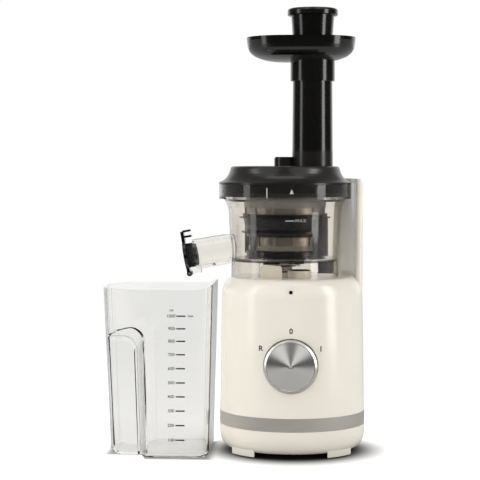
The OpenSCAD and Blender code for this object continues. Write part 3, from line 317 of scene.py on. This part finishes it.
def plastic(name, colour, roughness, coat, grain, depth, satinBelow=None):
    s = mouldSet
    m = Finish(name)
    p = m.place()
    fine = m.noise(p, 1.0 / (grain * mm), 2.0)  # moulding texture
    cloud = m.ramp(m.noise(p, s["clouds"]), s["cloudEdge"])
    shade = m.blend(cloud, *[shaded(colour, c) for c in s["cloudShades"]])
    rough = roughness + (m.noise(p, s["patches"]) - 0.5) * s["patchDepth"]
    if satinBelow:
        ends = (satinBelow - s["satinFade"], satinBelow + s["satinFade"])
        satin = m.ramp(m.parts(p)[2], ends, 1.0, 0.0)
        # painted sheen: the colour is lighter below that height
        shade = m.blend(satin, shade, shaded(colour, s["satinSheenPainted"]))
        rough = rough + satin * s["satinRoughness"]
        coat = (1 - satin * s["satinLessCoat"]) * coat
    return m.close(m.surface(Base_Color=shade, Roughness=rough, Normal=m.bump(fine, depth * mm, s["relief"]),
                             Coat_Weight=coat, Coat_Roughness=s["coatRoughness"], IOR=s["index"]))


metalSet = {
    # name: colour, roughness, grain in mm, depth of the grain in mm
    "steel": ((0.56, 0.55, 0.53), 0.28, 0.6, 0.004),
    "laminations": ((0.24, 0.24, 0.25), 0.45, 0.5, 0.010),
    "copper": ((0.62, 0.25, 0.10), 0.32, 0.8, 0.010),
    "bronze": ((0.52, 0.34, 0.14), 0.36, 0.3, 0.010),
}
tarnishSet = {"scale": 70.0, "edge": (0.35, 0.75), "shades": (1.04, 0.86), "roughness": 0.10, "relief": 0.5}


def metal(name, colour, roughness, grain, depth):
    s = tarnishSet
    m = Finish(name)
    p = m.place()
    fine = m.noise(p, 1.0 / (grain * mm), 4.0, 0.6)
    tarnish = m.ramp(m.noise(p, s["scale"], 4.0), s["edge"])
    shade = m.blend(tarnish, *[shaded(colour, c) for c in s["shades"]])
    return m.close(m.surface(Base_Color=shade, Roughness=roughness + tarnish * s["roughness"], Metallic=1.0,
                             Normal=m.bump(fine, depth * mm, s["relief"])))


ringSet = {"colour": (0.62, 0.60, 0.55), "shades": (0.80, 1.12), "roughness": 0.30, "streakRoughness": 0.12,
           "streaks": (0.9, 1900.0), "bands": (2.5, 300.0),  # noise round the axis and upwards
           "streakShare": 0.6, "anisotropy": 0.8, "depth": 0.00003, "relief": 0.6}


def brushedRing(s):  # streaks that run round the vertical axis
    m = Finish("brushed")
    x, y, z = m.parts(m.place())
    angle = m.maths("ARCTAN2", y, x - baseX)
    lines = m.noise(m.gather(angle * s["streaks"][0], z * s["streaks"][1], 0.0), 1.0, 5.0, 0.7)
    bands = m.noise(m.gather(angle * s["bands"][0], z * s["bands"][1], 0.0), 1.0)
    mixed = lines * s["streakShare"] + bands * (1 - s["streakShare"])
    shade = m.blend(mixed, *[shaded(s["colour"], c) for c in s["shades"]])
    rough = s["roughness"] + lines * s["streakRoughness"]
    return m.close(m.surface(Base_Color=shade, Roughness=rough, Metallic=1.0, Anisotropic=s["anisotropy"],
                             Normal=m.bump(lines, s["depth"], s["relief"])))


knobFaceSet = {"colour": (0.67, 0.66, 0.635), "shades": (0.90, 1.06), "roughness": 0.17,
               "axisHeight": 0.089, "tilt": 16.0, "edge": (0.0224, 0.0230), "tip": 1e-9,
               "marks": (2600.0, 1.2), "markDepth": 0.000012, "markRoughness": 0.10}  # noise outwards, round


def turnedFace(s):  # a face with turning marks, coned by the tilt in degrees
    m = Finish("knobFace")
    p = m.parts(m.place())
    across, up = p[0] - baseX, p[2] - s["axisHeight"]
    radius = (across * across + up * up + s["tip"]) ** 0.5
    angle = m.maths("ARCTAN2", up, across)
    marks = m.noise(m.gather(radius * s["marks"][0], angle * s["marks"][1], 0.0), 1.0, 4.0, 0.7)
    onFace = m.ramp(radius, s["edge"], 1.0, 0.0)
    height = radius * -math.tan(math.radians(s["tilt"])) * onFace + marks * s["markDepth"]
    shade = m.blend(marks, *[shaded(s["colour"], c) for c in s["shades"]])
    return m.close(m.surface(Base_Color=shade, Roughness=s["roughness"] + marks * s["markRoughness"],
                             Metallic=1.0, Normal=m.bump(height, 1.0, 1.0)))


meshSet = {"colour": (0.30, 0.275, 0.24), "roughness": 0.34, "radius": 0.036, "pitch": 0.0011,
           "holeEdge": (0.20, 0.28), "holePaintedShade": 0.25, "depth": 0.00008, "relief": 0.7}


def perforated(s):  # fine holes round the strainer, painted as darker spots of painted shade, with every second row shifted by half a pitch
    m = Finish("meshSteel")
    x, y, z = m.parts(m.place())
    angle = m.maths("ARCTAN2", y, x - (baseX + bowlX))
    row = m.maths("FLOOR", z / s["pitch"])
    across = angle * (s["radius"] / s["pitch"]) + m.maths("MODULO", row, 2.0) * 0.5
    u = m.maths("FRACT", across) - 0.5
    v = m.maths("FRACT", z / s["pitch"]) - 0.5
    # painted shade: each hole is a darker spot in the steel's colour with a bump, not an opening
    hole = m.ramp((u * u + v * v) ** 0.5, s["holeEdge"], 1.0, 0.0)
    shade = m.blend(hole, s["colour"], shaded(s["colour"], s["holePaintedShade"]))
    return m.close(m.surface(Base_Color=shade, Roughness=s["roughness"], Metallic=1.0,
                             Normal=m.bump(1 - hole, s["depth"], s["relief"])))


clearSet = {
    "roughness": 0.03, "haze": 240.0, "hazeRoughness": 0.02, "index": 1.38,
    "wave": 35.0, "waveShade": 0.015, "waveDepth": 0.0002, "relief": 0.25,  # flow of the moulding
    "lets": 0.97, "unbent": (0.99, 0.988, 0.982),  # share and tint of the light that goes straight through
}
jugTint = (0.93, 0.928, 0.918)
bowlWall = {
    # the spout has a thin wall, and the bowl right of it a thick one
    "thin": (0.91, 0.895, 0.86), "thick": (0.84, 0.81, 0.765), "spoutEnd": -0.058, "spoutFade": 0.003,
    # painted shade: the thick wall is darker where it is seen along its surface
    "rim": (0.12, 0.11, 0.09), "rimShare": 0.8, "rimSeen": (0.62, 0.82),
    # the heavy flange at the top, darkened as painted shade, and the joint where the bowl's floor meets its
    # wall
    "flangePaintedShade": (0.10, 0.11, 0.13), "flangeShare": 0.55, "flangeFrom": 0.2440, "flangeFade": 0.001,
    "joint": (0.02, 0.02, 0.02), "jointShare": 0.85, "jointFrom": 0.1842, "jointTo": 0.1866,
    "jointFade": 0.0004,
}


def bowlTint(m, s):
    p = m.parts(m.place())
    x, z = p[0] - baseX, p[2]
    thick = m.ramp(x, (s["spoutEnd"] - s["spoutFade"], s["spoutEnd"] + s["spoutFade"]))
    tint = m.blend(thick, s["thin"], s["thick"])
    # painted shade on the thick wall where it is seen edge-on
    along = m.ramp(m.node("ShaderNodeLayerWeight", {}, {"Blend": 0.5}, "Facing"), s["rimSeen"])
    tint = m.blend(along * thick * s["rimShare"], tint, s["rim"])
    # painted shade over the heavy flange at the top
    flangePaintedShade = m.ramp(z, (s["flangeFrom"], s["flangeFrom"] + s["flangeFade"]), 0.0, s["flangeShare"])
    tint = m.blend(flangePaintedShade, tint, s["flangePaintedShade"])
    overFloor = m.ramp(z, (s["jointFrom"] - s["jointFade"], s["jointFrom"]))
    underTop = m.ramp(z, (s["jointTo"], s["jointTo"] + s["jointFade"]), 1.0, 0.0)
    return m.blend(overFloor * underTop * thick * s["jointShare"], tint, s["joint"])


def clearPlastic(m, tint, s):  # the tint is one colour, or made in the same material
    p = m.place()
    wave = m.noise(p, s["wave"], 2.0)
    rough = s["roughness"] + m.noise(p, s["haze"], 4.0) * s["hazeRoughness"]
    glass = m.surface(Base_Color=m.blend(wave * s["waveShade"], tint, (0, 0, 0)), Roughness=rough,
                      Transmission_Weight=1.0, IOR=s["index"],
                      Normal=m.bump(wave, s["waveDepth"], s["relief"]))
    unbent = m.node("ShaderNodeBsdfTransparent", {}, {"Color": s["unbent"]})
    shadow, diffuse = m.rays("Is Shadow Ray", "Is Diffuse Ray")  # light for what stands inside and behind
    lets = (shadow + diffuse) * s["lets"]
    return m.close(m.node("ShaderNodeMixShader", {}, {0: lets, 1: glass, 2: unbent}))


inkSet = {"blackInk": (0.008, 0.008, 0.008), "whiteInk": (0.55, 0.55, 0.54)}
wearSet = {"scale": 900.0, "shade": 0.8, "lift": 0.006, "roughness": 0.5, "wornRoughness": 0.1}


def ink(name, colour):
    s = wearSet
    m = Finish(name)
    wear = m.noise(m.place(), s["scale"])
    worn = [c * s["shade"] + s["lift"] for c in colour]
    rough = s["roughness"] + wear * s["wornRoughness"]
    return m.close(m.surface(Base_Color=m.blend(wear, colour, worn), Roughness=rough))


finishes = {n: plastic(n, *v) for n, v in plasticSet.items()}
finishes.update({n: metal(n, *v) for n, v in metalSet.items()})
finishes.update({n: ink(n, v) for n, v in inkSet.items()})
bowlClear = Finish("bowlClear")
finishes["bowlClear"] = clearPlastic(bowlClear, bowlTint(bowlClear, bowlWall), clearSet)
finishes["jugClear"] = clearPlastic(Finish("jugClear"), jugTint, clearSet)
finishes["brushed"] = brushedRing(ringSet)
finishes["knobFace"] = turnedFace(knobFaceSet)
finishes["meshSteel"] = perforated(meshSet)
print("finishes made:", len(finishes))

slotFinish = {
    "cream": "cream", "black": "black", "navy": "navy", "clear": "bowlClear", "white_nylon": "nylon",
    "brushed": "brushed", "steel": "steel", "mesh_steel": "meshSteel", "laminations": "laminations",
    "copper": "copper", "bronze": "bronze", "grey_resin": "greyResin", "dark_plastic": "dark",
    "board": "board", "wire": "wire", "rubber": "rubber", "silicone": "silicone",
}
nodeFinish = {  # nodes with a finish other than their slot's
    "speed_knob": "knobFace", "juice_jug": "jugClear", "strainer_frame": "strainerGrey",
    # the tower's cover takes the lighter cream, as painted light
    "tower_cover": "creamPaintedLit", "lid": "lidBlack", "lid_seal": "darkSilicone",
    "wiper_blades": "darkSilicone",
}


def dressNodes():
    slots = {s["node"]: s["material_slot"] for s in frame["record"]["subparts"]}
    for name, obj in nodes.items():
        obj.data.materials.clear()
        obj.data.materials.append(finishes[nodeFinish.get(name, slotFinish[slots[name]])])


dressNodes()
print("nodes dressed")


# Printed marks are thin sheets of ink. Each is laid out flat, with x across, y up and z out of the
# sheet, and then laid onto its part's surface.
inkLift = 0.3  # how far the middle of the ink stands off the surface, as a share of its thickness
capitalShare = 0.70  # height of a capital as a share of the font's size
curveSteps = 4  # points along each curve of a letter


def addPiece(name, points, faces, material, body):
    mesh = bpy.data.meshes.new(name)
    mesh.from_pydata(points, [], faces)
    mesh.materials.append(finishes[material])
    mesh.update()
    obj = bpy.data.objects.new(name, mesh)
    scene.collection.objects.link(obj)
    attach(obj, body)


def lettering(text, height, depth, bold, apart=1.0):  # bold widens each stroke, apart the spaces
    curve = bpy.data.curves.new("letters", "FONT")
    curve.body, curve.size, curve.extrude = text, height / capitalShare, depth / 2
    curve.align_x, curve.align_y = "CENTER", "CENTER"
    curve.offset, curve.space_character, curve.resolution_u = bold, apart, curveSteps
    obj = bpy.data.objects.new("letters", curve)
    scene.collection.objects.link(obj)
    bpy.context.view_layer.update()
    mesh = bpy.data.meshes.new_from_object(obj.evaluated_get(bpy.context.evaluated_depsgraph_get()))
    points = np.zeros(len(mesh.vertices) * 3)
    mesh.vertices.foreach_get("co", points)
    faces = [tuple(p.vertices) for p in mesh.polygons]
    bpy.data.objects.remove(obj)
    bpy.data.curves.remove(curve)
    bpy.data.meshes.remove(mesh)
    return points.reshape(-1, 3), faces


def bar(width, height, depth):
    x, y, z = width / 2, height / 2, depth / 2
    points = np.array([(sx * x, sy * y, sz * z) for sz in (-1, 1) for sy in (-1, 1) for sx in (-1, 1)])
    return points, [(0, 2, 3, 1), (4, 5, 7, 6), (0, 1, 5, 4), (2, 6, 7, 3), (0, 4, 6, 2), (1, 3, 7, 5)]


def arrow(width, height, depth):  # a triangle that points up, with its foot at zero
    corners = ((-width / 2, 0.0), (width / 2, 0.0), (0.0, height))
    points = np.array([(x, y, z) for z in (-depth / 2, depth / 2) for x, y in corners])
    return points, [(0, 2, 1), (3, 4, 5), (0, 1, 4, 3), (1, 2, 5, 4), (2, 0, 3, 5)]


def moved(part, across, up):
    points, faces = part
    return points + np.array((across, up, 0.0)), faces


def together(parts):
    points, faces, start = [], [], 0
    for p, f in parts:
        points.append(p)
        faces += [tuple(i + start for i in face) for face in f]
        start += len(p)
    return np.vstack(points), faces


jugPrint = {
    "ink": 0.00006, "bold": 0.00005, "dash": (0.0086, 0.0013), "dashX": -0.1047, "dashShift": 0.0017,
    "digits": 0.0030, "digitGap": 0.0056, "step": 100,  # millilitres from one level to the next
    "levels": (0.0177, 0.0316, 0.0454, 0.0589, 0.0721, 0.0856, 0.0988, 0.1115, 0.1233, 0.1352),
    "words": {"ml": (0.0026, -0.1119, 0.1407), "max": (0.0022, -0.0940, 0.1354)},  # letters' height, place
    "jugY": -0.013, "footHalf": 0.0485, "mouthHalf": 0.052, "mouthHeight": 0.1597,
}


def jugScale(s):  # leaned onto the jug: its half width along y grows in a straight line from foot to mouth
    parts = []
    for k, level in enumerate(s["levels"]):
        dashX = s["dashX"] + s["dashShift"] * level / s["levels"][-1]
        parts.append(moved(bar(*s["dash"], s["ink"]), dashX, level))
        digits = lettering(str(s["step"] * (k + 1)), s["digits"], s["ink"], s["bold"])
        wide = np.ptp(digits[0][:, 0])
        parts.append(moved(digits, dashX - s["digitGap"] - wide / 2, level))
    for word, (tall, x, z) in s["words"].items():
        parts.append(moved(lettering(word, tall, s["ink"], s["bold"]), x, z))
    flat, faces = together(parts)
    half = s["footHalf"] + (s["mouthHalf"] - s["footHalf"]) * flat[:, 1] / s["mouthHeight"]
    front = s["jugY"] - half - flat[:, 2] - s["ink"] * inkLift
    points = np.stack([flat[:, 0] + baseX, front, flat[:, 1]], 1)
    addPiece("jug_scale", points, faces, "blackInk", "jug")


def bentRound(flat, radius, axisX):
    # y is minus the root of the squared radius less the squared distance from the axis along x
    across = flat[:, 0] - axisX
    return np.stack([flat[:, 0] + baseX, -np.sqrt(radius**2 - across**2), flat[:, 1]], 1)


dialPrint = {
    "ink": 0.00010, "bold": 0.00018, "tall": 0.0048,
    "labels": {"0": (0.0003, 0.1217), "R": (-0.0282, 0.1050), "1": (0.0281, 0.1048)},
    "bandTop": 0.0399, "bandRadius": 0.0704, "shoulder": 0.150, "shoulderRadius": 0.0681,
}


def dialLabels(s):  # bent round the base: its radius shrinks in a straight line from band to shoulder
    parts = [moved(lettering(t, s["tall"], s["ink"], s["bold"]), x, z) for t, (x, z) in s["labels"].items()]
    flat, faces = together(parts)
    share = (flat[:, 1] - s["bandTop"]) / (s["shoulder"] - s["bandTop"])
    radius = s["bandRadius"] + (s["shoulderRadius"] - s["bandRadius"]) * share
    radius = radius + flat[:, 2] + s["ink"] * inkLift
    addPiece("dial_labels", bentRound(flat, radius, 0.0), faces, "blackInk", "base")


bowlPrint = {
    "ink": 0.00008, "level": 0.2242, "dash": (0.0080, 0.0008), "dashX": -0.0014,
    "word": "MAX", "tall": 0.0031, "bold": -0.00004, "apart": 1.2, "wordX": 0.0090,
    "line": (0.0009, 0.0094), "linePlace": (-0.0226, 0.2506),
    "arrow": (0.0038, 0.0044), "arrowPlace": (0.0006, 0.2497),
    "heights": (0.1872, 0.218, 0.232, 0.236, 0.2441, 0.24421, 0.26),  # the bowl's outside
    "radii": (0.0519, 0.0538, 0.0545, 0.0552, 0.0596, 0.0640, 0.0640),
}


def bowlMarks(s):  # bent round the bowl: its radius runs straight between the heights in the settings
    word = lettering(s["word"], s["tall"], s["ink"], s["bold"], s["apart"])
    flat, faces = together([moved(bar(*s["dash"], s["ink"]), s["dashX"], s["level"]),
                            moved(word, s["wordX"], s["level"]),
                            moved(bar(*s["line"], s["ink"]), *s["linePlace"]),
                            moved(arrow(*s["arrow"], s["ink"]), *s["arrowPlace"])])
    radius = np.interp(flat[:, 1], s["heights"], s["radii"]) + flat[:, 2] + s["ink"] * inkLift
    addPiece("bowl_marks", bentRound(flat, radius, bowlX), faces, "whiteInk", "bowl")


jugScale(jugPrint)
dialLabels(dialPrint)
bowlMarks(bowlPrint)
print("marks printed")
